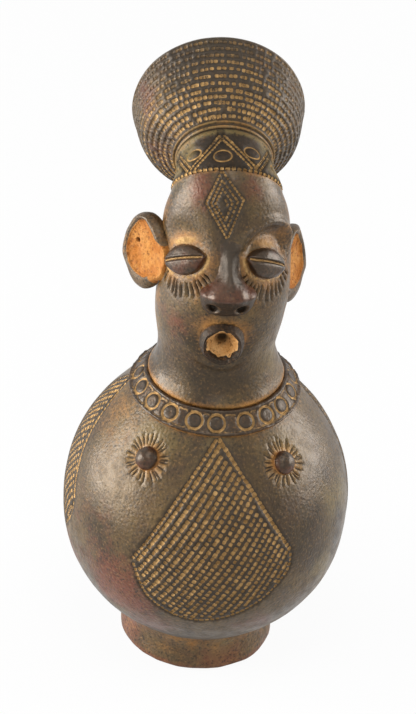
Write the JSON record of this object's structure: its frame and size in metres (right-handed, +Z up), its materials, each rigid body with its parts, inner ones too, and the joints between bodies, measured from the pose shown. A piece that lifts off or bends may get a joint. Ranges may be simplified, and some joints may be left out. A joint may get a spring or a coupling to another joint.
{
  "type": "anthropomorphic jar",
  "caption": "Hollow burnished clay jar shaped as a figure: a globe on a ring foot, a head with applied face pads, and a swept-back flared crown that is the mouth.",
  "frame": {"origin": "centre of the foot's standing face, which is also the middle of the jar's bounding box at its base", "axes": "+Z up through the globe and neck, the face looks along -Y, the flared mouth opens towards +Y"},
  "size_m": [0.1396, 0.1396, 0.3134],
  "materials": {
    "clay_burnished": "burnished dark brown fired clay with grey gloss and ochre deposit in the carving",
    "clay_dark": "burnished near-black brown fired clay",
    "clay_worn": "rubbed brown fired clay with paler ochre hollows"
  },
  "bodies": {
    "root": {"foot_ring": "clay_worn", "body_globe": "clay_burnished", "necklace_band": "clay_dark", "head": "clay_burnished", "hair_band": "clay_dark", "crown_flare": "clay_burnished", "nose": "clay_dark", "eye_right": "clay_dark", "eye_left": "clay_dark", "mouth_ring": "clay_dark", "ear_right": "clay_worn", "ear_left": "clay_worn", "breast_right": "clay_dark", "breast_left": "clay_dark"}
  },
  "joints": []
}
